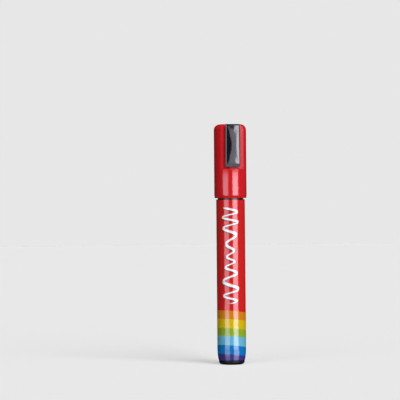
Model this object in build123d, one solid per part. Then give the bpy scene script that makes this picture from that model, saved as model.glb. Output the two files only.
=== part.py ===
from build123d import *
import os
from math import cos, pi, sin, sqrt

# Liquid chalk marker with a pump valve, a bullet nib and a pull-off cap with a pocket clip.
# Millimetres. Z runs along the marker with the cap upwards, the origin is the centre of
# the tail plug's base, and the clip faces -Y.

# Barrel
barrel_diameter = 17.1
barrel_length = 97.5
barrel_wall = 1.6
tail_taper_length = 7.0
tail_taper_depth = 0.75

# Printed shrink sleeve over the barrel
sleeve_thickness = 0.12
sleeve_clearance = 0.03
sleeve_margin = 0.3

# Tail plug
plug_flange_height = 2.4
plug_edge_radius = 1.8
plug_spigot_length = 8.0
plug_wall = 1.2
plug_floor = 1.8

# Press fits and the sealing grooves of the two pieces that close the barrel
press_clearance = 0.03
seal_groove_width = 0.9
seal_groove_depth = 0.35
seal_groove_pitch = 2.0
seal_groove_count = 2

# Mixing ball
ball_diameter = 6.35
ball_rest_gap = 0.05
ball_top_gap = 0.6

# Front section, from the barrel's rim to the nose
neck_step = 0.75
neck_height = 10.6
neck_groove_lift = 4.1
neck_groove_width = 1.5
neck_groove_depth = 0.25
cone_height = 8.0
cone_blend_radius = 2.5
nose_length = 9.0
nose_wall = 1.65
nose_edge_radius = 0.5
skirt_wall = 1.3
skirt_lip_height = 1.4
skirt_lip_depth = 0.3
partition_thickness = 3.0
air_groove_width = 1.0
air_groove_depth = 0.5
air_groove_count = 4

# Nib
nib_diameter = 5.5
nib_length = 24.7
nib_exposed = 10.0
nib_clearance = 0.1
nib_bullet_length = 4.4
nib_tip_diameter = 2.4
nib_bullet_radius = 4.5
nib_end_bevel = 0.4
press_travel = 3.0
press_overtravel = 0.8

# Pump valve
valve_pin_diameter = 3.4
valve_ink_passage = 0.5
valve_seat_thickness = 1.6
valve_seat_gap = 0.1
valve_head_clearance = 1.0
valve_head_thickness = 1.8
valve_stem_diameter = 3.2
valve_stem_overhang = 2.5
guide_clearance = 0.1
cage_height = 19.0
cage_wall = 0.9
cage_floor = 1.6
cage_window_width = 3.2
cage_window_margin = 3.5
cage_window_count = 4
cage_inlet_diameter = 1.4
spring_wire = 0.6
spring_clearance = 0.45
spring_turns = 7
spring_steps_per_turn = 4
spring_end_gap = 0.1
spring_end_pitch_share = 0.55

# Cap
cap_gap = 0.8
cap_clearance = 0.4
cap_wall = 1.6
cap_top_wall = 1.8
cap_top_radius = 3.4
cap_mouth_bevel_height = 1.6
cap_mouth_bevel_depth = 0.3
cap_corner_radius = 0.8
cap_bead_clearance = 0.08
cap_bead_width = 1.1
cap_rib_thickness = 1.0
cap_rib_setback = 0.8
cap_rib_count = 5
cap_rib_step_angle = 45
flat_cut = 2.6
flat_crown = 0.25
flat_wall = 1.2
flat_edge_radius = 1.2
flat_edge_trim = 0.1
ledge_edge_radius = 0.9

# Inner cap that seals on the nose
inner_cap_wall = 0.9
inner_cap_clearance = 0.3
inner_cap_lip_clearance = 0.1
inner_cap_lip_height = 1.2
inner_cap_lift = 0.7
inner_cap_shoulder_room = 2.5
inner_cap_shoulder_height = 2.0
inner_cap_nib_room = 0.55
inner_cap_tip_room = 4.9
inner_cap_top = 1.2
inner_cap_flat_gap = 0.2

# Clip that snaps into a window of the cap
clip_top_width = 8.4
clip_end_width = 8.9
clip_thickness = 1.7
clip_crown = 0.4
clip_end_crown = 0.1
clip_pocket_gap = 1.3
clip_end_gap = 1.1
clip_top_drop = 0.1
clip_top_radius = 1.1
clip_end_bevel_height = 1.7
clip_end_bevel_depth = 0.8
clip_edge_bevel = 0.5
clip_corner_radius = 0.8
clip_section_shares = (0, 0.5, 1)
clip_pad_height = 4.6
clip_pad_gap = 0.5
clip_nub_radius = 0.9
clip_nub_lift = 2.0
clip_tongue_width = 6.0
clip_tongue_thickness = 1.8
clip_tongue_reach = 1.1
clip_hook_drop = 0.6
clip_hook_gap = 0.25
window_clearance = 0.2
window_drop = 2.7

# Every cut runs this far past what it cuts
overrun = 1.0

# Levels up the barrel and the front section
barrel_radius = barrel_diameter / 2
barrel_bore = barrel_radius - barrel_wall
barrel_bottom = plug_flange_height
barrel_rim = barrel_bottom + barrel_length
taper_top = barrel_bottom + tail_taper_length
taper_sweep = (tail_taper_length**2 + tail_taper_depth**2) / (2 * tail_taper_depth)
neck_radius = barrel_radius - neck_step
neck_top = barrel_rim + neck_height
nose_base = neck_top + cone_height
nose_top = nose_base + nose_length
press_radius = barrel_bore - press_clearance

# Nib, and the valve behind it
nib_radius = nib_diameter / 2
nib_bore = nib_radius + nib_clearance
nose_radius = nib_bore + nose_wall
nib_tip = nose_top + nib_exposed
nib_rear = nib_tip - nib_length
partition_top = nib_rear - press_travel - press_overtravel
seat_top = partition_top - partition_thickness
seat_bottom = seat_top - valve_seat_thickness
cage_bottom = seat_bottom - cage_height
cage_floor_top = cage_bottom + cage_floor
chamber_radius = press_radius - skirt_wall
cage_radius = chamber_radius - press_clearance
cage_bore = cage_radius - cage_wall
pin_radius = valve_pin_diameter / 2
stem_radius = valve_stem_diameter / 2
seat_hole = pin_radius + valve_ink_passage
head_radius = cage_bore - valve_head_clearance
head_top = seat_bottom - (head_radius - seat_hole + valve_seat_gap)
head_bottom = head_top - valve_head_thickness
cone_top = seat_bottom + (seat_hole - valve_seat_gap - pin_radius)
stem_bottom = cage_bottom - valve_stem_overhang
guide_hole = stem_radius + guide_clearance

# Mixing ball
ball_radius = ball_diameter / 2
ball_rest = plug_floor + ball_rest_gap + ball_radius
ball_travel = stem_bottom - press_travel - ball_top_gap - ball_radius - ball_rest

# Cap and inner cap
cap_mouth = barrel_rim + cap_gap
cap_bore = neck_radius + cap_clearance
cap_radius = cap_bore + cap_wall
cap_ceiling = nib_tip + inner_cap_tip_room + inner_cap_top
cap_top = cap_ceiling + cap_top_wall
seal_bore = nose_radius + inner_cap_clearance
seal_radius = seal_bore + inner_cap_wall
seal_bottom = nose_base + inner_cap_lift
seal_shoulder = nose_top + inner_cap_shoulder_room
nib_room = nib_radius + inner_cap_nib_room
flat_least = seal_radius + inner_cap_flat_gap + flat_wall
flat_distance = max(cap_radius - flat_cut, flat_least)
flat_inside = flat_distance - flat_wall
flat_half_width = sqrt(cap_radius**2 - flat_distance**2)
flat_bow_radius = (flat_half_width**2 + flat_crown**2) / (2 * flat_crown)
flat_ledge = nose_base

# Clip
clip_back = flat_distance + clip_pocket_gap
clip_face = clip_back + clip_thickness
clip_top = cap_top - clip_top_drop
clip_bottom = flat_ledge + clip_end_gap
window_middle = cap_ceiling - window_drop
hinge_depth = (flat_distance + flat_inside) / 2


def at(radius, height):
    """Point of a side outline, in the plane through the marker's axis."""
    return (radius, 0, height)


def turned(*corners):
    """Revolve a closed outline of (radius, height, optional corner radius) about the axis."""
    points = [at(corner[0], corner[1]) for corner in corners]
    radii = [corner[2] if len(corner) > 2 else 0 for corner in corners]
    return revolve(make_face(FilletPolyline(points, radius=radii, close=True)), Axis.Z)


def ring(inner, outer, bottom, top):
    """Plain ring between two radii and two heights."""
    return turned((inner, bottom), (outer, bottom), (outer, top), (inner, top))


def slab(width, *corners):
    """Extrude a closed outline of (depth, height, optional corner radius) across the clip side.

    Depth is measured from the axis towards -Y.
    """
    points = [(0, -corner[0], corner[1]) for corner in corners]
    radii = [corner[2] if len(corner) > 2 else 0 for corner in corners]
    outline = make_face(FilletPolyline(points, radius=radii, close=True))
    return extrude(outline, amount=width / 2, dir=(1, 0, 0), both=True)


def block(width, near, far, bottom, top):
    """Box across the clip side between two depths and two heights."""
    return slab(width, (near, bottom), (far, bottom), (far, top), (near, top))


def barrel_wall_radius(offset, height):
    """Radius of a line that lies offset outside the barrel's wall, in its tapered tail."""
    centre = barrel_radius - taper_sweep
    return centre + sqrt((taper_sweep + offset) ** 2 - (taper_top - height) ** 2)


def barrel_side(offset, low, high):
    """Side line at an offset from the barrel's wall: straight, then drawn in at the tail."""
    straight = barrel_radius + offset
    end = at(barrel_wall_radius(offset, low), low)
    drawn_in = TangentArc(at(straight, taper_top), end, tangent=(0, 0, -1))
    return [Line(at(straight, high), at(straight, taper_top)), drawn_in]


def make_barrel():
    """Straight moulded tube, drawn in at the tail."""
    outer = barrel_side(0, barrel_bottom, barrel_rim)
    tail_end = at(barrel_wall_radius(0, barrel_bottom), barrel_bottom)
    rim_end = at(barrel_radius, barrel_rim)
    inner = Polyline(tail_end, at(barrel_bore, barrel_bottom), at(barrel_bore, barrel_rim), rim_end)
    return revolve(make_face(outer + [inner]), Axis.Z)


def make_printed_sleeve():
    """Shrink film that follows the barrel's wall."""
    low = barrel_bottom + sleeve_margin
    high = barrel_rim - sleeve_margin
    inside = sleeve_clearance
    outside = sleeve_clearance + sleeve_thickness
    lower_edge = Line(at(barrel_wall_radius(outside, low), low), at(barrel_wall_radius(inside, low), low))
    upper_edge = Line(at(barrel_radius + outside, high), at(barrel_radius + inside, high))
    film = barrel_side(outside, low, high) + barrel_side(inside, low, high) + [lower_edge, upper_edge]
    return revolve(make_face(film), Axis.Z)


def seal_grooves(first):
    """Row of shallow grooves round a press fit, upwards from a height."""
    grooves = []
    for number in range(seal_groove_count):
        low = first + number * seal_groove_pitch
        floor = press_radius - seal_groove_depth
        grooves.append(ring(floor, press_radius + overrun, low, low + seal_groove_width))
    return grooves


def make_tail_plug():
    """Domed plug with a hollow spigot that closes the barrel's tail."""
    flange = barrel_radius - tail_taper_depth
    top = plug_flange_height + plug_spigot_length
    cup = press_radius - plug_wall
    plug = turned(
        (0, 0),
        (flange, 0, plug_edge_radius),
        (flange, plug_flange_height),
        (press_radius, plug_flange_height),
        (press_radius, top),
        (cup, top),
        (cup, plug_floor),
        (0, plug_floor),
    )
    return plug - seal_grooves(plug_flange_height + seal_groove_pitch)


def make_mixing_ball():
    """Steel ball that stirs the ink when the marker is shaken."""
    return Pos(0, 0, ball_rest) * Sphere(ball_radius)


def make_front_section():
    """Neck, cone and nose in one moulding, with a skirt that holds the valve in the barrel."""
    skirt_bottom = cage_bottom - skirt_lip_height
    groove_bottom = barrel_rim + neck_groove_lift
    groove_floor = neck_radius - neck_groove_depth
    body = turned(
        (chamber_radius - skirt_lip_depth, skirt_bottom),
        (press_radius, skirt_bottom),
        (press_radius, barrel_rim),
        (neck_radius, barrel_rim),
        (neck_radius, neck_top, cone_blend_radius),
        (nose_radius, nose_base, cone_blend_radius),
        (nose_radius, nose_top, nose_edge_radius),
        (nib_bore, nose_top),
        (nib_bore, partition_top),
        (seat_hole, partition_top),
        (seat_hole, seat_top),
        (chamber_radius, seat_top),
        (chamber_radius, cage_bottom),
        (chamber_radius - skirt_lip_depth, cage_bottom),
    )
    snap_groove = ring(groove_floor, neck_radius + overrun, groove_bottom, groove_bottom + neck_groove_width)
    air_height = nose_top + overrun - partition_top
    air_reach = nib_bore + air_groove_depth
    air_groove = Box(air_reach, air_groove_width, air_height, align=(Align.MIN, Align.CENTER, Align.MIN))
    air_grooves = [
        Pos(0, 0, partition_top) * place * air_groove
        for place in PolarLocations(0, air_groove_count)
    ]
    first_seal = barrel_rim - (seal_groove_count + 1) * seal_groove_pitch
    return body - [snap_groove] - air_grooves - seal_grooves(first_seal)


def make_nib():
    """Bullet nib of pressed fibre that slides in the nose."""
    return turned(
        (0, nib_rear),
        (nib_radius - nib_end_bevel, nib_rear),
        (nib_radius, nib_rear + nib_end_bevel),
        (nib_radius, nib_tip - nib_bullet_length, nib_bullet_radius),
        (nib_tip_diameter / 2, nib_tip, nib_tip_diameter / 2),
        (0, nib_tip),
    )


def make_valve_seat():
    """Soft ring that the valve head closes against."""
    return ring(seat_hole, cage_radius, seat_bottom, seat_top)


def make_valve_cage():
    """Slotted cup that carries the spring and clamps the seat."""
    cup = turned(
        (guide_hole, cage_bottom),
        (cage_radius, cage_bottom),
        (cage_radius, seat_bottom),
        (cage_bore, seat_bottom),
        (cage_bore, cage_floor_top),
        (guide_hole, cage_floor_top),
    )
    window_bottom = cage_floor_top + cage_window_margin
    window_height = seat_bottom - cage_window_margin - window_bottom
    window_reach = cage_radius + overrun
    window = Box(window_reach, cage_window_width, window_height, align=(Align.MIN, Align.CENTER, Align.MIN))
    windows = [
        Pos(0, 0, window_bottom) * place * window
        for place in PolarLocations(0, cage_window_count)
    ]
    inlet_circle = (guide_hole + cage_bore) / 2
    inlet = Cylinder(cage_inlet_diameter / 2, cage_floor + 2 * overrun)
    inlets = [
        Pos(0, 0, cage_bottom + cage_floor / 2) * place * inlet
        for place in PolarLocations(inlet_circle, cage_window_count)
    ]
    return cup - windows - inlets


def make_valve_rod():
    """Pin that the nib pushes, conical sealing head and guide stem, in one moulding."""
    return turned(
        (0, stem_bottom),
        (stem_radius, stem_bottom),
        (stem_radius, head_bottom),
        (head_radius, head_bottom),
        (head_radius, head_top),
        (pin_radius, cone_top),
        (pin_radius, nib_rear),
        (0, nib_rear),
    )


def spring_point(turn):
    """Point and direction of the spring's wire after a number of turns.

    The coils lie closer at both ends and open towards the middle.
    """
    radius = stem_radius + spring_clearance + spring_wire / 2
    low = cage_floor_top + spring_end_gap + spring_wire / 2
    high = head_bottom - spring_end_gap - spring_wire / 2
    share = turn / spring_turns
    swing = (1 - spring_end_pitch_share) / (2 * pi)
    height = low + (high - low) * (share - swing * sin(2 * pi * share))
    climb = (high - low) / spring_turns * (1 - (1 - spring_end_pitch_share) * cos(2 * pi * share))
    angle = 2 * pi * turn
    point = Vector(radius * cos(angle), radius * sin(angle), height)
    along = Vector(-2 * pi * radius * sin(angle), 2 * pi * radius * cos(angle), climb)
    return point, along.normalized()


def biarc(start, start_way, end, end_way):
    """Two arcs that join two points and keep the direction at both."""
    chord = end - start
    ways = start_way + end_way
    spread = 2 * (1 - start_way.dot(end_way))
    reach = chord.dot(ways)
    length = (sqrt(reach**2 + spread * chord.dot(chord)) - reach) / spread
    middle = (start + end + (start_way - end_way) * length) * 0.5
    first = TangentArc(start, middle, tangent=start_way)
    return [first, TangentArc(middle, end, tangent=first % 1)]


def make_valve_spring():
    """Round-wire compression spring round the valve's stem."""
    count = spring_turns * spring_steps_per_turn
    stations = [spring_point(step / spring_steps_per_turn) for step in range(count + 1)]
    path = []
    for (start, start_way), (end, end_way) in zip(stations, stations[1:]):
        path += biarc(start, start_way, end, end_way)
    first_point, first_way = stations[0]
    section = Plane(first_point, z_dir=first_way) * Circle(spring_wire / 2)
    climbs = [
        (stations[step + spring_steps_per_turn][0] - stations[step][0]).length
        for step in range(count + 1 - spring_steps_per_turn)
    ]
    print("valve_spring least gap between coils:", round(min(climbs) - spring_wire, 3), "mm")
    return sweep(section, path=Wire(path))


def flat_waste():
    """What the bowed flat, its ledge and their rounded edges take off the front of the cap."""
    bow_centre = Vector(0, flat_bow_radius - flat_distance)
    outer = cap_radius + flat_edge_trim
    inner = outer - flat_edge_radius
    bow_inner = flat_bow_radius - flat_edge_radius
    depth = (bow_centre.Y**2 + inner**2 - bow_inner**2) / (2 * bow_centre.Y)
    edge_centre = Vector(sqrt(inner**2 - depth**2), depth)
    on_cap = edge_centre * (outer / inner)
    on_flat = bow_centre + (edge_centre - bow_centre) * (flat_bow_radius / bow_inner)
    between = edge_centre + ((on_cap + on_flat) / 2 - edge_centre).normalized() * flat_edge_radius
    reach = cap_radius + overrun
    bow = ThreePointArc(on_flat, (0, -flat_distance), (-on_flat.X, on_flat.Y))
    edge = ThreePointArc(on_flat, between, on_cap)
    outside = Polyline(on_cap, (reach, on_cap.Y), (reach, -reach), (0, -reach))
    half = [edge, outside]
    outline = make_face([bow, *half, *(mirror(part, Plane.YZ) for part in half)])
    waste = Pos(0, 0, flat_ledge - ledge_edge_radius) * extrude(outline, amount=cap_top)
    ledge = turned(
        (0, cap_mouth),
        (cap_radius, cap_mouth),
        (cap_radius, flat_ledge, ledge_edge_radius),
        (0, flat_ledge),
    )
    return waste - ledge


def make_cap_shell():
    """Thin moulded cap with a flat for the clip, a snap bead and ribs for the inner cap."""
    outer = turned(
        (0, cap_mouth),
        (cap_radius - cap_mouth_bevel_depth, cap_mouth),
        (cap_radius, cap_mouth + cap_mouth_bevel_height),
        (cap_radius, cap_top, cap_top_radius),
        (0, cap_top),
    )
    outer -= flat_waste()
    reach = cap_radius + overrun

    cavity = turned(
        (0, cap_mouth - overrun),
        (cap_bore, cap_mouth - overrun),
        (cap_bore, cap_ceiling, cap_corner_radius),
        (0, cap_ceiling),
    )
    cavity -= block(2 * reach, flat_inside, reach, flat_ledge - flat_wall, cap_ceiling + overrun)
    shell = outer - cavity

    bead_middle = barrel_rim + neck_groove_lift + neck_groove_width / 2
    bead_radius = neck_radius + cap_bead_clearance
    bead_root = cap_bore + cap_wall / 2
    bead = turned(
        (bead_radius, bead_middle - cap_bead_width / 4),
        (cap_bore, bead_middle - cap_bead_width / 2),
        (bead_root, bead_middle - cap_bead_width / 2),
        (bead_root, bead_middle + cap_bead_width / 2),
        (cap_bore, bead_middle + cap_bead_width / 2),
        (bead_radius, bead_middle + cap_bead_width / 4),
    )

    rib_inside = seal_radius + press_clearance
    rib_bottom = seal_bottom + cap_rib_setback
    rib_height = cap_ceiling + cap_top_wall / 4 - rib_bottom
    rib = Pos(rib_inside, 0, rib_bottom) * Box(
        cap_bore + cap_wall / 4 - rib_inside,
        cap_rib_thickness,
        rib_height,
        align=(Align.MIN, Align.CENTER, Align.MIN),
    )
    ribs = [Rot(0, 0, number * cap_rib_step_angle) * rib for number in range(cap_rib_count)]

    window_width = clip_tongue_width + 2 * window_clearance
    window_half = clip_tongue_thickness / 2 + window_clearance
    window = block(
        window_width,
        flat_inside - overrun,
        flat_distance + overrun,
        window_middle - window_half,
        window_middle + window_half,
    )
    return shell + bead + ribs - window


def make_inner_cap():
    """Soft thimble that seals round the nose and covers the nib."""
    lip = nose_radius + inner_cap_lip_clearance
    shoulder_end = seal_shoulder + inner_cap_shoulder_height
    inner_shoulder = seal_shoulder - inner_cap_wall / 2
    return turned(
        (lip, seal_bottom),
        (seal_radius, seal_bottom),
        (seal_radius, seal_shoulder),
        (nib_room + inner_cap_wall, shoulder_end),
        (nib_room + inner_cap_wall, cap_ceiling),
        (0, cap_ceiling),
        (0, cap_ceiling - inner_cap_top),
        (nib_room, cap_ceiling - inner_cap_top),
        (nib_room, inner_shoulder + inner_cap_shoulder_height),
        (seal_bore, inner_shoulder),
        (seal_bore, seal_bottom + 2 * inner_cap_lip_height),
        (lip, seal_bottom + inner_cap_lip_height),
    )


def clip_section(share):
    """Section of the clip's arm at a share of its height: flat back, bevelled edges, crowned face."""
    half = (clip_end_width + (clip_top_width - clip_end_width) * share) / 2
    fullness = 1 - (2 * share - 1) ** 2
    crown = clip_end_crown + (clip_crown - clip_end_crown) * fullness
    rim = clip_face - clip_crown
    inner = half - clip_edge_bevel
    edge = rim - clip_edge_bevel
    back = Polyline(
        (-inner, -rim),
        (-half, -edge),
        (-half, -clip_back),
        (half, -clip_back),
        (half, -edge),
        (inner, -rim),
    )
    face = ThreePointArc((inner, -rim), (0, -rim - crown), (-inner, -rim))
    return Pos(0, 0, clip_bottom + (clip_top - clip_bottom) * share) * make_face([back, face])


def clip_corner():
    """What a rounded lower corner takes off the clip's arm."""
    half = clip_end_width / 2
    start = half - clip_corner_radius
    end = clip_bottom + clip_corner_radius
    waste = Polyline(
        at(start, clip_bottom),
        at(start, clip_bottom - overrun),
        at(half + overrun, clip_bottom - overrun),
        at(half + overrun, end),
        at(half, end),
    )
    middle = clip_corner_radius * sqrt(1 / 2)
    rounding = ThreePointArc(at(half, end), at(start + middle, end - middle), at(start, clip_bottom))
    return extrude(make_face([waste, rounding]), amount=clip_face + overrun, dir=(0, -1, 0))


def make_clip():
    """Crowned, bevelled clip with a hooked tongue through the cap's window."""
    rim = clip_face - clip_crown
    front = clip_face + overrun
    slope = clip_end_bevel_depth / clip_end_bevel_height
    side = slab(
        2 * clip_end_width,
        (clip_back, clip_bottom),
        (rim - clip_end_bevel_depth, clip_bottom),
        (front, clip_bottom + clip_end_bevel_height + (front - rim) / slope),
        (front, clip_top),
        (clip_back, clip_top),
    )
    arm = loft([clip_section(share) for share in clip_section_shares]) & side
    top_edge = arm.edges().group_by(Axis.Z)[-1].sort_by(Axis.Y)[0]
    arm = fillet(top_edge, clip_top_radius)
    corner = clip_corner()
    arm -= [corner, mirror(corner, Plane.YZ)]

    pad_half = clip_pad_height / 2
    pad = block(
        clip_tongue_width,
        flat_distance + clip_pad_gap,
        clip_back + clip_thickness / 2,
        window_middle - pad_half,
        window_middle + pad_half,
    )
    tongue_half = clip_tongue_thickness / 2
    hook_face = flat_inside - clip_hook_gap
    hook_end = flat_inside - clip_tongue_reach
    tongue = slab(
        clip_tongue_width,
        (clip_back, window_middle - tongue_half),
        (clip_back, window_middle + tongue_half),
        (hook_end, window_middle + tongue_half),
        (hook_end, window_middle - tongue_half),
        (hook_face, window_middle - tongue_half - clip_hook_drop),
        (hook_face, window_middle - tongue_half),
    )
    nub = Pos(0, -clip_back, clip_bottom + clip_nub_lift) * Rot(0, 90, 0) * Cylinder(
        clip_nub_radius, clip_tongue_width
    )
    return arm + pad + tongue + nub


pieces = {
    "barrel": make_barrel,
    "printed_sleeve": make_printed_sleeve,
    "tail_plug": make_tail_plug,
    "mixing_ball": make_mixing_ball,
    "front_section": make_front_section,
    "nib": make_nib,
    "valve_seat": make_valve_seat,
    "valve_cage": make_valve_cage,
    "valve_rod": make_valve_rod,
    "valve_spring": make_valve_spring,
    "cap_shell": make_cap_shell,
    "inner_cap": make_inner_cap,
    "clip": make_clip,
}

os.makedirs("parts", exist_ok=True)
for node, make in pieces.items():
    export_step(make(), f"parts/{node}.step")

print("overall length:", round(cap_top, 2), "cap length:", round(cap_top - cap_mouth, 2))
print("cap diameter:", 2 * cap_radius, "clip face depth:", clip_face, "flat depth:", flat_distance)
print("ball travel:", round(ball_travel, 2), "spring foot:", cage_floor_top)
print("clip hinge depth:", hinge_depth, "height:", window_middle)
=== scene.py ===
from collections import namedtuple
from math import asin, cos, pi, radians, sin, tan

import bmesh
import bpy
from bpy.props import FloatProperty, FloatVectorProperty, IntProperty, PointerProperty
from bpy.types import Operator, Panel, PropertyGroup
from mathutils import Color, Matrix, Vector


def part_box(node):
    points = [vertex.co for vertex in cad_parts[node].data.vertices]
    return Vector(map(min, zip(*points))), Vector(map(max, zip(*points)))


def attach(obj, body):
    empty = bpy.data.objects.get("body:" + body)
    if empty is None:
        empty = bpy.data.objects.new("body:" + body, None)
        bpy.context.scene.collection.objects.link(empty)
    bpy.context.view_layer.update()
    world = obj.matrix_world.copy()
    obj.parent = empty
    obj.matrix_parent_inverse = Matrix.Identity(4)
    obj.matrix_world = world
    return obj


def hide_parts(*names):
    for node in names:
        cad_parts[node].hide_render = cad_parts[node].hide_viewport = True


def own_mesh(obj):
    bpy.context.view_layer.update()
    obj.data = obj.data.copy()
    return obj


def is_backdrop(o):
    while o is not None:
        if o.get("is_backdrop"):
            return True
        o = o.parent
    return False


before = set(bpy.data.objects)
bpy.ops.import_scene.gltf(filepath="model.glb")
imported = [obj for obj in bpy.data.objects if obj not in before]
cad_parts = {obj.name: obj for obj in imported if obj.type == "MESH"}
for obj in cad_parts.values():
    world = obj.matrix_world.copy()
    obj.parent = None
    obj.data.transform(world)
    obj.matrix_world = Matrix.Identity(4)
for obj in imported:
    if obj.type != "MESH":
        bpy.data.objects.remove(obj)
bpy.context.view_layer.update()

bl_info = {
    "name": "Liquid chalk marker",
    "version": (1, 0, 0),
    "blender": (4, 5, 0),
    "location": "View3D > Sidebar > Chalk marker",
    "description": "Finishes, printed film, valve spring and studio of a liquid chalk marker",
    "category": "Object",
}

MM = 0.001
SHARP_EDGE = radians(35)
STAGE_STEPS = 96


def display_colour(red, green, blue):
    """Linear colour for display values of 0 to 255."""
    return tuple(Color((red / 255, green / 255, blue / 255)).from_srgb_to_scene_linear())


def colour(name, description, *values):
    """Colour property with a default in display values."""
    return FloatVectorProperty(
        name=name, description=description, subtype="COLOR", min=0, max=1, default=display_colour(*values)
    )


def number(name, description, default):
    """Plain number property."""
    return FloatProperty(name=name, description=description, default=default)


def length(name, description, millimetres):
    """Length property with a default in millimetres."""
    default = millimetres * MM
    return FloatProperty(name=name, description=description, unit="LENGTH", default=default, precision=5)


def angle(name, description, degrees):
    """Angle property with a default in degrees."""
    return FloatProperty(name=name, description=description, subtype="ANGLE", default=radians(degrees))


class ChalkMarkerColours(PropertyGroup):
    """Colours of the marker's plastics, print and metal."""

    cap: colour("Cap", "Red of the moulded cap", 204, 29, 37)
    film: colour("Film", "Red ground of the printed film", 204, 34, 34)
    orange: colour("Orange", "Topmost band of the print", 206, 126, 24)
    yellow: colour("Yellow", "Second band of the print", 208, 178, 14)
    green: colour("Green", "Third band of the print", 142, 166, 44)
    sky: colour("Sky", "Fourth band of the print", 104, 176, 206)
    blue: colour("Blue", "Fifth band of the print", 14, 116, 186)
    violet: colour("Violet", "Lowest band of the print", 60, 54, 132)
    chalk: colour("Chalk", "White of the drawn stroke", 232, 235, 240)
    shade: colour("Shade", "Dark edge printed beside the stroke", 38, 8, 12)
    black: colour("Black", "Barrel, front section and tail plug", 26, 25, 28)
    clip: colour("Clip", "Polished black of the clip", 22, 21, 28)
    white: colour("White", "Natural white of the valve mouldings", 226, 225, 218)
    seal: colour("Seal", "Milky plastic of the inner cap", 222, 226, 224)
    rubber: colour("Rubber", "Soft ring of the valve", 46, 46, 48)
    fibre: colour("Fibre", "Pressed fibre of the nib", 236, 233, 224)
    steel: colour("Steel", "Spring wire and mixing ball", 196, 197, 200)


class ChalkMarkerPrint(PropertyGroup):
    """Places of the bands and of the stroke on the printed film."""

    band_tops: FloatVectorProperty(
        name="Band tops",
        description="Upper edges of the bands on the axis, from violet to orange",
        unit="LENGTH",
        size=6,
        default=[top * MM for top in (5.5, 10.9, 16.5, 21.2, 26.7, 31.7)],
    )
    lean_side: number("Side lean", "Drop of the bands towards +X, per length", 0.10)
    lean_front: number("Front lean", "Rise of the bands towards -Y, per length", 0.107)
    ink_spread: length("Ink spread", "Softness of a printed edge", 0.12)
    stroke_low: length("Stroke foot", "Height at which the stroke starts", 37.0)
    stroke_high: length("Stroke head", "Height at which the stroke ends", 95.0)
    stroke_width: length("Stroke width", "Width of the chalk line", 1.25)
    stroke_sway: length("Stroke sway", "Widest swing of the stroke to each side", 4.6)
    stroke_middle: length("Stroke middle", "Middle of the stroke along the film, from the front", -1.9)
    stroke_waves: number("Stroke waves", "Number of swings along the stroke", 7.5)
    stroke_press: number("Stroke press", "Share of the width lost on back strokes", 0.22)
    stroke_swell: number("Stroke swell", "Share of the swing that comes and goes", 0.28)
    swell_rate: number("Swell rate", "Turn of the swell along the stroke, in radians", 9.0)
    stroke_hurry: number("Stroke hurry", "How far the swings run ahead and behind, in radians", 0.9)
    hurry_rate: number("Hurry rate", "Turn of the hurry along the stroke, in radians", 14.0)
    stroke_fray: length("Stroke fray", "Most that is worn off the edge of the chalk line", 0.25)
    fray_allowance: length("Fray allowance", "Added to the line's half width to make up for the fray", 0.12)
    shade_cover: number("Shade cover", "How much of the ground the dark edge hides", 0.9)
    shade_shift: length("Shade shift", "How far the dark edge lies below and left of the stroke", 0.45)
    seam_width: length("Seam width", "Overlap of the film at the back", 3.5)
    seam_rise: length("Seam rise", "How far the overlap stands out", 0.06)
    tail_height: length("Tail height", "Height at which the film starts to draw in", 9.4)
    tail_sweep: length("Tail sweep", "Radius of the film's curve at the tail", 33.2)


class ChalkMarkerSpring(PropertyGroup):
    """Wire and winding of the valve spring."""

    wire: length("Wire", "Diameter of the spring wire", 0.6)
    turns: IntProperty(name="Turns", description="Number of coils", default=7)
    end_pitch: number("End pitch", "Pitch at the ends as a share of the mean", 0.55)
    foot: length("Foot", "Height of the cage floor that the spring stands on", 87.0)
    press: length("Press", "Travel of the nib that shortens the spring", 3.0)


class ChalkMarkerStage(PropertyGroup):
    """Camera and studio lights round the marker."""

    distance: length("Camera distance", "From the lens to the marker's axis", 1115)
    height: length("Camera height", "Height of the level line of sight", 99.7)
    turn: angle("Camera turn", "Camera's place round the marker, from the clip side", -9.35)
    aside: length("Camera aside", "How far the line of sight passes left of the axis", 18.5)
    roll: angle("Camera roll", "Tilt of the frame", -0.49)
    frame_width: length("Frame width", "Width of the picture at the marker", 242.8)
    screen_radius: length("Screen radius", "From the axis to the dark screen behind the panels", 200)
    screen_height: length("Screen height", "Height of the dark screen", 400)
    card_lift: length("Card lift", "Height of the dark card on the floor", 0.05)
    screen_side: angle("Screen side", "How far the dark screen reaches round each side", 150)
    key_strength: number("Key light", "Level of the soft key light", 0.98)
    key_softness: angle("Key softness", "Width of each soft light as seen from the marker", 40)
    key_side: angle("Key side", "Key light's place to the right of the camera", 37)
    key_height: angle("Key height", "Front lights' height above level", 36)
    left_strength: number("Left light", "Level of the weaker light on the left", 0.3)
    left_side: angle("Left side", "Left light's place to the right of the camera", -33)
    fill_strength: number("Fill light", "Level of the fill on the far side", 0.5)
    fill_height: angle("Fill height", "Fill light's height above level", 30)
    panel_tint: colour("Panel tint", "Faint cool tint of the bright panels", 247, 243, 255)
    world_strength: number("Room", "Brightness of the dim room", 0.08)
    room_radius: length("Room radius", "From the marker to the wall", 3000)
    floor_grey: number("Floor grey", "Grey of the floor under the lamps", 0.45)
    card_grey: number("Card grey", "Grey of the dark screen and cards", 0.02)
    floor_glow: number("Floor glow", "Paleness of the floor to the eye", 0.432)
    wall_glow: number("Wall glow", "Paleness of the wall to the eye", 0.8)


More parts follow.
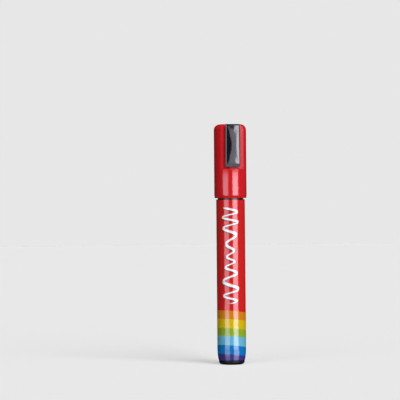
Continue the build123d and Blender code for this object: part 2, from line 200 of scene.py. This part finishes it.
Softbox = namedtuple("Softbox", "name owner distance start end bottom top brightness")
SOFTBOXES = (
    # Distances and heights in millimetres, angles in degrees to the right of the camera
    Softbox("body_left", "body", 80, -52, -16, 0, 220, 4.0),
    Softbox("body_right", "body", 80, 15, 53, 0, 220, 7.6),
    Softbox("tail_left", "body", 14, -41, -11, 3.5, 8, 3.2),
    Softbox("tail_right", "body", 14, 11.5, 44, 3.5, 8, 5.2),
    Softbox("tail_end_left", "body", 14, -41, -11, 0, 3.5, 1.9),
    Softbox("tail_end_right", "body", 14, 11.5, 44, 0, 3.5, 3.4),
    Softbox("cap_left", "cap", 80, -52, -15.5, 88, 117, 4.0),
    Softbox("cap_right", "cap", 80, 14, 52, 88, 117, 8.3),
    Softbox("cap_flat", "cap", 80, 19, 62, 121, 150, 1.5),
    Softbox("raised_cap_left", "cap", 190, -52, -15.5, 158, 180, 4.0),
    Softbox("raised_cap_right", "cap", 190, 14, 52, 158, 180, 8.3),
    Softbox("clip_left", "clip", 80, -82, -58, 60, 160, 2.8),
    Softbox("clip_middle", "clip", 80, 14, 31, 60, 150, 2.4),
    Softbox("clip_middle_foot", "clip", 80, 11.5, 14, 60, 130, 2.4),
    Softbox("clip_middle_head", "clip", 80, 11.5, 14, 139, 150, 2.4),
    Softbox("clip_end_foot", "clip", 80, 9, 11.5, 60, 127, 2.4),
    Softbox("clip_end_head", "clip", 80, 9, 11.5, 142, 150, 2.4),
    Softbox("clip_right", "clip", 80, 31, 48, 60, 220, 9.9),
    Softbox("clip_inner_foot", "clip", 80, 27, 31, 60, 124.5, 7.6),
    Softbox("clip_outer_foot", "clip", 80, 24, 27, 60, 122.5, 7.6),
    Softbox("clip_inner_head", "clip", 80, 27, 31, 145, 172, 7.6),
    Softbox("clip_outer_head", "clip", 80, 22, 27, 147, 172, 7.6),
    Softbox("clip_low", "clip", 80, -15, 60, 10, 60, 1.8),
    Softbox("raised_clip_middle", "clip", 80, 14, 31, 175, 205, 2.4),
)


class Finish:
    """One material: its principled shader and short calls for the nodes that feed it."""

    def __init__(self, name, **sockets):
        self.material = bpy.data.materials.new(name)
        self.material.use_nodes = True
        self.tree = self.material.node_tree
        self.shader = self.tree.nodes["Principled BSDF"]
        self.place = self.node("ShaderNodeTexCoord").outputs["Object"]
        for socket, value in sockets.items():
            self.set(socket, value)

    def set(self, socket, value):
        """Feed one socket of the shader, named in lower case with underscores."""
        wanted = socket.replace("_", " ")
        found = [made for made in self.shader.inputs if made.name.lower() == wanted]
        self.feed(found[0], value)

    def feed(self, socket, value):
        """Link a node's output to a socket, or set the socket to a number or colour."""
        if isinstance(value, bpy.types.NodeSocket):
            self.tree.links.new(value, socket)
        elif socket.type == "RGBA":
            socket.default_value = (*value[:3], 1)
        else:
            socket.default_value = value

    def node(self, kind, inputs=None, **settings):
        """Add a node with its settings and named inputs."""
        made = self.tree.nodes.new(kind)
        for setting, value in settings.items():
            setattr(made, setting, value)
        for socket, value in (inputs or {}).items():
            self.feed(made.inputs[socket], value)
        return made

    def math(self, operation, *values):
        """Result of a math node."""
        made = self.node("ShaderNodeMath", operation=operation)
        for socket, value in zip(made.inputs, values):
            self.feed(socket, value)
        return made.outputs[0]

    def wave(self, value, rate):
        """Sine of a value times a rate in radians."""
        return self.math("SINE", self.math("MULTIPLY", value, rate))

    def step(self, value, edge, softness):
        """0 below an edge and 1 above it, with a soft change."""
        limits = {"Value": value, "From Min": edge - softness, "From Max": edge + softness}
        return self.node("ShaderNodeMapRange", limits, interpolation_type="SMOOTHSTEP").outputs[0]

    def ramp(self, value, low, high):
        """Spread a value of 0 to 1 between two numbers."""
        return self.node("ShaderNodeMapRange", {"Value": value, "To Min": low, "To Max": high}).outputs[0]

    def mix(self, share, first, second):
        """Mix of two colours."""
        made = self.node("ShaderNodeMix", data_type="RGBA")
        sockets = {socket.identifier: socket for socket in (*made.inputs, *made.outputs)}
        for identifier, value in (("Factor_Float", share), ("A_Color", first), ("B_Color", second)):
            self.feed(sockets[identifier], value)
        return sockets["Result_Color"]

    def scaled(self, *stretch):
        """Object coordinates with each axis multiplied."""
        return self.node("ShaderNodeMapping", {"Vector": self.place, "Scale": stretch}).outputs[0]

    def noise(self, size, detail=2.0, vector=None):
        """Cloudy noise whose lumps are about as large as the given length."""
        inputs = {"Vector": vector or self.place, "Scale": 1 / size, "Detail": detail}
        return self.node("ShaderNodeTexNoise", inputs).outputs[0]

    def bump(self, height, distance, normal=None):
        """Surface normal over a relief of the given depth."""
        inputs = {"Height": height, "Distance": distance}
        if normal:
            inputs["Normal"] = normal
        return self.node("ShaderNodeBump", inputs).outputs[0]

    def mottled(self, base, size, depth):
        """Colour that drifts a little lighter and darker over a piece."""
        darker = [value * (1 - depth) for value in base]
        lighter = [min(1, value * (1 + depth)) for value in base]
        return self.mix(self.noise(size, detail=3.0), darker, lighter)


def dress(node, finish):
    """Give a CAD node its finish."""
    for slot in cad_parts[node].material_slots:
        slot.material = finish.material


def built(name, shape, finish):
    """Object made from a bmesh, with one finish."""
    mesh = bpy.data.meshes.new(name)
    shape.to_mesh(mesh)
    shape.free()
    mesh.materials.append(finish.material)
    made = bpy.data.objects.new(name, mesh)
    bpy.context.scene.collection.objects.link(made)
    return made


def new_piece(name, shape, finish, body):
    """Smooth piece made from a bmesh, which rides on a body."""
    bmesh.ops.recalc_face_normals(shape, faces=shape.faces)
    piece = built(name, shape, finish)
    piece.data.shade_smooth()
    piece.data.set_sharp_from_angle(angle=SHARP_EDGE)
    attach(piece, body)
    return piece


def moulded(name, base, roughness, waviness=0.012 * MM, grain=0.004 * MM, **sockets):
    """Moulded plastic: faint flow marks, gentle waviness and a fine grain."""
    finish = Finish(name, **sockets)
    finish.set("base_color", finish.mottled(base, size=9 * MM, depth=0.05))
    patches = finish.noise(size=2.5 * MM, detail=4.0)
    finish.set("roughness", finish.ramp(patches, low=0.8 * roughness, high=1.25 * roughness))
    broad = finish.bump(finish.noise(size=7 * MM), waviness)
    finish.set("normal", finish.bump(finish.noise(size=0.5 * MM), grain, broad))
    return finish


def film_stroke(finish, settings, across, upwards, shift):
    """Mask of the wavy chalk line on the film, moved left and down by a shift."""
    tall = settings.stroke_high - settings.stroke_low
    along = finish.math("MULTIPLY_ADD", upwards, 1 / tall, (shift - settings.stroke_low) / tall)
    swell = finish.wave(along, settings.swell_rate)
    swing = finish.math("MULTIPLY_ADD", swell, settings.stroke_swell, 1 - settings.stroke_swell)
    sway = finish.math("MULTIPLY", swing, settings.stroke_sway)
    hurry = finish.math("MULTIPLY", finish.wave(along, settings.hurry_rate), settings.stroke_hurry)
    swings = 2 * pi * settings.stroke_waves
    phase = finish.math("MULTIPLY_ADD", along, swings, hurry)
    line = finish.math("MULTIPLY_ADD", finish.math("SINE", phase), sway, settings.stroke_middle - shift)
    heading = finish.math("COSINE", phase)
    slope = finish.math("MULTIPLY", finish.math("MULTIPLY", heading, sway), swings / tall)
    stretch = finish.math("SQRT", finish.math("MULTIPLY_ADD", slope, slope, 1.0))
    away = finish.math("DIVIDE", finish.math("ABSOLUTE", finish.math("SUBTRACT", across, line)), stretch)
    wear = finish.noise(size=0.7 * MM, detail=3.0)
    frayed = finish.math("MULTIPLY_ADD", wear, settings.stroke_fray, away)
    half = settings.stroke_width / 2 + settings.fray_allowance
    pressed = finish.math("MULTIPLY_ADD", heading, half * settings.stroke_press, frayed)
    inside = finish.math("SUBTRACT", 1.0, finish.step(pressed, half, settings.ink_spread))
    above = finish.step(along, 0.0, settings.ink_spread / tall)
    below = finish.math("SUBTRACT", 1.0, finish.step(along, 1.0, settings.ink_spread / tall))
    return finish.math("MULTIPLY", inside, finish.math("MULTIPLY", above, below))


def film_finish(colours, settings):
    """Glossy printed film: red ground, bands round the tail and a chalk stroke up the front."""
    finish = Finish("printed film", ior=1.55)
    parts = finish.node("ShaderNodeSeparateXYZ", {"Vector": finish.place})
    side, depth, upwards = parts.outputs
    lean = (settings.lean_side, settings.lean_front, 1)
    leaning = finish.node("ShaderNodeVectorMath", operation="DOT_PRODUCT")
    for socket, value in zip(leaning.inputs, (finish.place, lean)):
        finish.feed(socket, value)
    level = leaning.outputs["Value"]
    paint = colours.violet
    above = (colours.blue, colours.sky, colours.green, colours.yellow, colours.orange, colours.film)
    for top, tint in zip(settings.band_tops, above):
        paint = finish.mix(finish.step(level, top, settings.ink_spread), paint, tint)
    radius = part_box("printed_sleeve")[1].x
    turn = finish.math("ARCTAN2", side, finish.math("MULTIPLY", depth, -1.0))
    across = finish.math("MULTIPLY", turn, radius)
    shade = film_stroke(finish, settings, across, upwards, settings.shade_shift)
    paint = finish.mix(finish.math("MULTIPLY", shade, settings.shade_cover), paint, colours.shade)
    stroke = film_stroke(finish, settings, across, upwards, 0.0)
    finish.set("base_color", finish.mix(stroke, paint, colours.chalk))
    finish.set("roughness", finish.ramp(finish.noise(size=3 * MM, detail=4.0), low=0.05, high=0.1))
    drawn_up = finish.scaled(1, 1, 0.35)
    ripple = finish.bump(finish.noise(size=9 * MM, detail=1.0, vector=drawn_up), distance=0.02 * MM)
    finish.set("normal", finish.bump(finish.noise(size=0.8 * MM), distance=0.002 * MM, normal=ripple))
    return finish


def fibre_finish(colours):
    """Pressed fibre of the nib: fine strands along the axis, with painted shade darkening the grooves
    between them.
    """
    finish = Finish("pressed fibre", roughness=0.9, sheen_weight=0.25, specular_ior_level=0.2)
    strands = finish.noise(size=0.12 * MM, detail=4.0, vector=finish.scaled(1, 1, 0.08))
    # Painted shade: the fibre colour is darkened where the strand relief is low, in the grooves between
    # strands
    painted_shade_level = 0.82
    painted_groove_shade = [value * painted_shade_level for value in colours.fibre]
    finish.set("base_color", finish.mix(strands, painted_groove_shade, colours.fibre))
    finish.set("normal", finish.bump(strands, distance=0.06 * MM))
    return finish


def steel_finish(name, base, roughness):
    """Bright steel with fine tumbled marks."""
    finish = Finish(name, metallic=1.0)
    marks = finish.noise(size=0.25 * MM, detail=4.0)
    finish.set("base_color", finish.mottled(base, size=1.5 * MM, depth=0.08))
    finish.set("roughness", finish.ramp(marks, low=0.7 * roughness, high=1.4 * roughness))
    finish.set("normal", finish.bump(marks, distance=0.004 * MM))
    return finish


def rubber_finish(colours):
    """Matt soft rubber with a faint bloom."""
    finish = Finish("soft rubber", specular_ior_level=0.3)
    finish.set("base_color", finish.mottled(colours.rubber, size=1.2 * MM, depth=0.2))
    finish.set("roughness", finish.ramp(finish.noise(size=0.6 * MM, detail=3.0), low=0.6, high=0.8))
    finish.set("normal", finish.bump(finish.noise(size=0.2 * MM), distance=0.01 * MM))
    return finish


class CHALK_MARKER_OT_cap(Operator):
    """Finish the cap shell in glossy red plastic."""

    bl_idname = "chalk_marker.cap"
    bl_label = "Cap"

    def execute(self, context):
        colours = context.scene.chalk_marker_colours
        dress("cap_shell", moulded("cap red", colours.cap, roughness=0.12, ior=1.55))
        return {"FINISHED"}


class CHALK_MARKER_OT_clip(Operator):
    """Finish the clip in polished black plastic."""

    bl_idname = "chalk_marker.clip"
    bl_label = "Clip"

    def execute(self, context):
        colours = context.scene.chalk_marker_colours
        polish = {"roughness": 0.1, "waviness": 0.004 * MM, "grain": 0.001 * MM, "ior": 1.6}
        dress("clip", moulded("clip black", colours.clip, **polish))
        return {"FINISHED"}


class CHALK_MARKER_OT_body(Operator):
    """Finish the barrel, front section and tail plug in black plastic."""

    bl_idname = "chalk_marker.body"
    bl_label = "Barrel and plug"

    def execute(self, context):
        colours = context.scene.chalk_marker_colours
        dress("barrel", moulded("barrel black", colours.black, roughness=0.16))
        dress("front_section", moulded("front black", colours.black, roughness=0.3))
        matt = {"roughness": 0.4, "specular_ior_level": 0.12}
        dress("tail_plug", moulded("plug black", colours.black, **matt))
        return {"FINISHED"}


class CHALK_MARKER_OT_film(Operator):
    """Finish the printed film and add the overlap where it is joined at the back."""

    bl_idname = "chalk_marker.film"
    bl_label = "Printed film"

    def execute(self, context):
        colours = context.scene.chalk_marker_colours
        settings = context.scene.chalk_marker_print
        finish = film_finish(colours, settings)
        dress("printed_sleeve", finish)
        new_piece("film_seam", self.overlap(settings), finish, "barrel")
        return {"FINISHED"}

    def overlap(self, settings):
        """Thin strip down the back, spun round the axis from the film's own side outline."""
        low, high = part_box("printed_sleeve")
        radius = high.x
        strip = bmesh.new()
        head = bmesh.ops.create_vert(strip, co=(0, radius, high.z))["vert"][0]
        bend = bmesh.ops.create_vert(strip, co=(0, radius, settings.tail_height))["vert"][0]
        strip.edges.new((head, bend))
        centre = (0, radius - settings.tail_sweep, settings.tail_height)
        drop = asin((settings.tail_height - low.z) / settings.tail_sweep)
        bmesh.ops.spin(strip, geom=[bend], cent=centre, axis=(1, 0, 0), angle=-drop, steps=6)
        turn = settings.seam_width / radius
        side = Matrix.Rotation(-turn / 2, 3, "Z")
        bmesh.ops.rotate(strip, verts=strip.verts, cent=(0, 0, 0), matrix=side)
        outline = strip.verts[:] + strip.edges[:]
        bmesh.ops.spin(strip, geom=outline, axis=(0, 0, 1), angle=turn, steps=8)
        bmesh.ops.recalc_face_normals(strip, faces=strip.faces)
        bmesh.ops.solidify(strip, geom=strip.faces[:], thickness=-settings.seam_rise)
        return strip


class CHALK_MARKER_OT_nib(Operator):
    """Finish the nib in pressed fibre."""

    bl_idname = "chalk_marker.nib"
    bl_label = "Nib"

    def execute(self, context):
        dress("nib", fibre_finish(context.scene.chalk_marker_colours))
        return {"FINISHED"}


class CHALK_MARKER_OT_valve(Operator):
    """Finish the valve's mouldings, its soft seat and the inner cap."""

    bl_idname = "chalk_marker.valve"
    bl_label = "Valve and inner cap"

    def execute(self, context):
        colours = context.scene.chalk_marker_colours
        natural = {"roughness": 0.35, "subsurface_weight": 0.1}
        for node in ("valve_cage", "valve_rod"):
            dress(node, moulded(node.replace("_", " "), colours.white, **natural))
        dress("valve_seat", rubber_finish(colours))
        milky = {"roughness": 0.4, "subsurface_weight": 0.4, "subsurface_scale": 1 * MM}
        dress("inner_cap", moulded("inner cap", colours.seal, **milky))
        return {"FINISHED"}


class CHALK_MARKER_OT_steel(Operator):
    """Wind the valve spring and finish the mixing ball."""

    bl_idname = "chalk_marker.steel"
    bl_label = "Spring and ball"

    def execute(self, context):
        colours = context.scene.chalk_marker_colours
        settings = context.scene.chalk_marker_spring
        dress("mixing_ball", steel_finish("ball steel", colours.steel, roughness=0.12))
        finish = steel_finish("spring wire", colours.steel, roughness=0.25)
        piece = new_piece("spring_coil", self.wind(settings), finish, "barrel")
        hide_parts("valve_spring")
        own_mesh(piece)
        return {"FINISHED"}

    def wind(self, settings):
        """Spin a round wire up the coils, closer at both ends than in the middle."""
        steps_per_turn = 32
        step = 2 * pi / steps_per_turn
        low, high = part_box("valve_spring")
        radius = high.x - settings.wire / 2
        climb = high.z - low.z - settings.wire
        swing = (1 - settings.end_pitch) / (2 * pi)
        count = settings.turns * steps_per_turn
        heights = [climb * (s / count - swing * sin(2 * pi * s / count)) for s in range(count + 1)]
        wire = bmesh.new()
        start = Matrix.Translation((radius, 0, low.z + settings.wire / 2)) @ Matrix.Rotation(pi / 2, 4, "X")
        bmesh.ops.create_circle(wire, cap_ends=False, segments=16, radius=settings.wire / 2, matrix=start)
        ring = wire.verts[:] + wire.edges[:]
        first = wire.edges[:]
        for lower, upper in zip(heights, heights[1:]):
            rise = (0, 0, upper - lower)
            turned = bmesh.ops.spin(wire, geom=ring, axis=(0, 0, 1), angle=step, steps=1, dvec=rise)
            ring = turned["geom_last"]
        last = [part for part in ring if isinstance(part, bmesh.types.BMEdge)]
        for edges in (first, last):
            bmesh.ops.edgenet_fill(wire, edges=edges)
        return wire


class CHALK_MARKER_OT_stage(Operator):
    """Set up the floor, backdrop, lights and camera."""

    bl_idname = "chalk_marker.stage"
    bl_label = "Stage"

    def execute(self, context):
        settings = context.scene.chalk_marker_stage
        context.scene.view_settings.view_transform = "Standard"
        self.towards = Vector((sin(settings.turn), -cos(settings.turn), 0))
        self.right = Vector((cos(settings.turn), sin(settings.turn), 0))
        self.add_camera(context, settings)
        self.add_room(context, settings)
        divider = self.add_dark_screens(settings)
        fill = self.add_suns(context, settings, divider)
        self.add_softboxes(context, settings, fill)
        return {"FINISHED"}

    def add_camera(self, context, settings):
        """Level camera that looks past the left of the marker."""
        data = bpy.data.cameras.new("camera")
        data.lens = data.sensor_width * settings.distance / settings.frame_width
        data.clip_start = 0.01
        camera = bpy.data.objects.new("camera", data)
        place = self.towards * settings.distance - self.right * settings.aside
        place.z = settings.height
        axes = Matrix((self.right, (0, 0, 1), self.towards)).transposed().to_4x4()
        camera.matrix_world = Matrix.Translation(place) @ axes @ Matrix.Rotation(settings.roll, 4, "Z")
        context.scene.collection.objects.link(camera)
        context.scene.camera = camera

    def add_room(self, context, settings):
        """Dim room with a pale floor and a pale wall all round."""
        world = bpy.data.worlds.new("room")
        world.use_nodes = True
        background = world.node_tree.nodes["Background"].inputs
        background["Color"].default_value = (1, 1, 1, 1)
        background["Strength"].default_value = settings.world_strength
        context.scene.world = world
        ground = bmesh.new()
        bmesh.ops.create_circle(ground, cap_ends=True, segments=STAGE_STEPS, radius=settings.room_radius)
        floor_finish = self.paper_finish("floor", settings.floor_grey, settings.floor_glow)
        self.add_set_piece("floor", ground, floor_finish)
        wall_height = settings.room_radius / 2
        backdrop = self.screen(settings.room_radius, wall_height, start=0, end=2 * pi)
        wall_finish = self.paper_finish("wall", grey=0.0, glow=settings.wall_glow)
        wall = self.add_set_piece("wall", backdrop, wall_finish)
        wall.visible_diffuse = False
        wall.visible_shadow = False

    def add_dark_screens(self, settings):
        """Dark card round and under the marker, and across it to keep front panels off its back."""
        reach = settings.screen_side
        radius = settings.screen_radius
        upright = self.screen(radius, settings.screen_height, -reach, reach)
        lift = Matrix.Translation((0, 0, settings.card_lift))
        flat = bmesh.new()
        bmesh.ops.create_circle(flat, cap_ends=True, segments=STAGE_STEPS, radius=radius, matrix=lift)
        across = bmesh.new()
        turned = Matrix.Rotation(settings.turn, 4, "Z") @ Matrix.Rotation(pi / 2, 4, "X")
        bmesh.ops.create_grid(across, size=settings.screen_height, matrix=turned)
        finish = self.paper_finish("dark card", settings.card_grey, glow=0.0)
        shapes = {"dark_screen": upright, "dark_card": flat, "dark_divider": across}
        cards = {name: self.add_set_piece(name, shape, finish) for name, shape in shapes.items()}
        for card in cards.values():
            card.visible_camera = False
            card.visible_diffuse = False
            card.visible_transmission = False
            card.visible_shadow = False
        cards["dark_divider"].visible_shadow = True
        return cards["dark_divider"]

    def add_suns(self, context, settings, divider):
        """Two broad soft lights in front and a fill behind, all unshaded by the divider; gives the fill."""
        unshaded = bpy.data.collections.new("not_shading")
        unshaded.objects.link(divider)
        unshaded.collection_objects[0].light_linking.link_state = "EXCLUDE"
        places = (
            ("key_light", settings.key_strength, settings.key_side, settings.key_height),
            ("left_light", settings.left_strength, settings.left_side, settings.key_height),
            ("fill_light", settings.fill_strength, pi, settings.fill_height),
        )
        lamps = {}
        for name, strength, side, height in places:
            sun = bpy.data.lights.new(name, "SUN")
            sun.energy = strength * pi
            sun.angle = settings.key_softness
            lamp = bpy.data.objects.new(name, sun)
            towards = self.way(side) * cos(height) + Vector((0, 0, sin(height)))
            lamp.rotation_euler = towards.to_track_quat("Z", "Y").to_euler()
            lamp.visible_glossy = False
            lamp.light_linking.blocker_collection = unshaded
            context.scene.collection.objects.link(lamp)
            lamps[name] = lamp
        return lamps["fill_light"]

    def way(self, side):
        """Level direction at an angle to the right of the camera, seen from the marker."""
        return self.towards * cos(side) + self.right * sin(side)

    def screen(self, radius, tall, start, end):
        """Upright curved screen round the marker between two angles from the camera."""
        made = bmesh.new()
        foot = bmesh.ops.create_vert(made, co=self.way(start) * radius)["vert"][0]
        head = bmesh.ops.create_vert(made, co=foot.co + Vector((0, 0, tall)))["vert"][0]
        edge = made.edges.new((foot, head))
        bmesh.ops.spin(made, geom=[foot, head, edge], axis=(0, 0, 1), angle=end - start, steps=STAGE_STEPS)
        return made

    def add_set_piece(self, name, shape, finish):
        """Add a part of the stage."""
        made = built(name, shape, finish)
        made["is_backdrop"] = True
        return made

    def paper_finish(self, name, grey, glow):
        """Matt paper that keeps shadows and glows only to the eye and in reflections."""
        matt = {"roughness": 0.9, "specular_ior_level": 0.0}
        finish = Finish(name, base_color=(grey, grey, grey), emission_color=(1, 1, 1), **matt)
        rays = finish.node("ShaderNodeLightPath").outputs
        seen = rays["Is Camera Ray"]
        for other in ("Is Glossy Ray", "Is Transmission Ray"):
            seen = finish.math("MAXIMUM", seen, rays[other])
        finish.set("emission_strength", finish.math("MULTIPLY", seen, glow))
        return finish

    def add_softboxes(self, context, settings, fill):
        """Bright panels that show only in the gloss of the pieces named, and a fill on the marker alone."""
        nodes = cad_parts
        pieces = [made for made in context.scene.objects if made.type == "MESH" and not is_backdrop(made)]
        owners = {"all": pieces, "cap": [nodes["cap_shell"]], "clip": [nodes["clip"]]}
        owners["body"] = [made for made in pieces if made not in owners["cap"] + owners["clip"]]
        groups = {}
        for owner, members in owners.items():
            groups[owner] = bpy.data.collections.new(f"gloss_{owner}")
            context.scene.collection.children.link(groups[owner])
            for made in members:
                groups[owner].objects.link(made)
        fill.light_linking.receiver_collection = groups["all"]
        for panel in SOFTBOXES:
            self.add_softbox(context, settings.panel_tint, panel, groups[panel.owner])

    def add_softbox(self, context, tint, panel, receivers):
        """Flat panel that faces the marker and spans an angle to the right of the camera."""
        start, end = radians(panel.start), radians(panel.end)
        wide = 2 * panel.distance * MM * tan((end - start) / 2)
        tall = (panel.top - panel.bottom) * MM
        data = bpy.data.lights.new(panel.name, "AREA")
        data.shape = "RECTANGLE"
        data.size = wide
        data.size_y = tall
        data.energy = panel.brightness * pi * wide * tall
        data.color = tint
        way = self.way((start + end) / 2)
        place = way * panel.distance * MM + Vector((0, 0, panel.bottom * MM + tall / 2))
        lamp = bpy.data.objects.new(panel.name, data)
        lamp.matrix_world = Matrix.Translation(place) @ way.to_track_quat("Z", "Y").to_matrix().to_4x4()
        lamp.visible_camera = False
        lamp.visible_diffuse = False
        lamp.light_linking.receiver_collection = receivers
        context.scene.collection.objects.link(lamp)


class CHALK_MARKER_PT_panel(Panel):
    """List of the marker's sizes, colours and steps."""

    bl_idname = "CHALK_MARKER_PT_panel"
    bl_label = "Chalk marker"
    bl_space_type = "VIEW_3D"
    bl_region_type = "UI"
    bl_category = "Chalk marker"

    def draw(self, context):
        """Draw a box for each group of settings, and a button for each step."""
        for name in GROUPS:
            settings = getattr(context.scene, name)
            box = self.layout.box()
            for setting in settings.__annotations__:
                box.prop(settings, setting)
        for operator in OPERATORS:
            self.layout.operator(operator.bl_idname)


GROUPS = {
    "chalk_marker_colours": ChalkMarkerColours,
    "chalk_marker_print": ChalkMarkerPrint,
    "chalk_marker_spring": ChalkMarkerSpring,
    "chalk_marker_stage": ChalkMarkerStage,
}
OPERATORS = (
    CHALK_MARKER_OT_cap,
    CHALK_MARKER_OT_clip,
    CHALK_MARKER_OT_body,
    CHALK_MARKER_OT_film,
    CHALK_MARKER_OT_nib,
    CHALK_MARKER_OT_valve,
    CHALK_MARKER_OT_steel,
    CHALK_MARKER_OT_stage,
)


def register():
    """Add the marker's settings, steps and panel."""
    for name, group in GROUPS.items():
        bpy.utils.register_class(group)
        setattr(bpy.types.Scene, name, PointerProperty(type=group))
    for made in (*OPERATORS, CHALK_MARKER_PT_panel):
        bpy.utils.register_class(made)


def unregister():
    """Take the marker's panel, steps and settings away again."""
    for made in reversed((*OPERATORS, CHALK_MARKER_PT_panel)):
        bpy.utils.unregister_class(made)
    for name, group in GROUPS.items():
        delattr(bpy.types.Scene, name)
        bpy.utils.unregister_class(group)


def main():
    """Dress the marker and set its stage."""
    register()
    bpy.ops.chalk_marker.cap()
    bpy.ops.chalk_marker.clip()
    bpy.ops.chalk_marker.body()
    bpy.ops.chalk_marker.film()
    bpy.ops.chalk_marker.nib()
    bpy.ops.chalk_marker.valve()
    bpy.ops.chalk_marker.steel()
    bpy.ops.chalk_marker.stage()


if __name__ == "__main__":
    main()
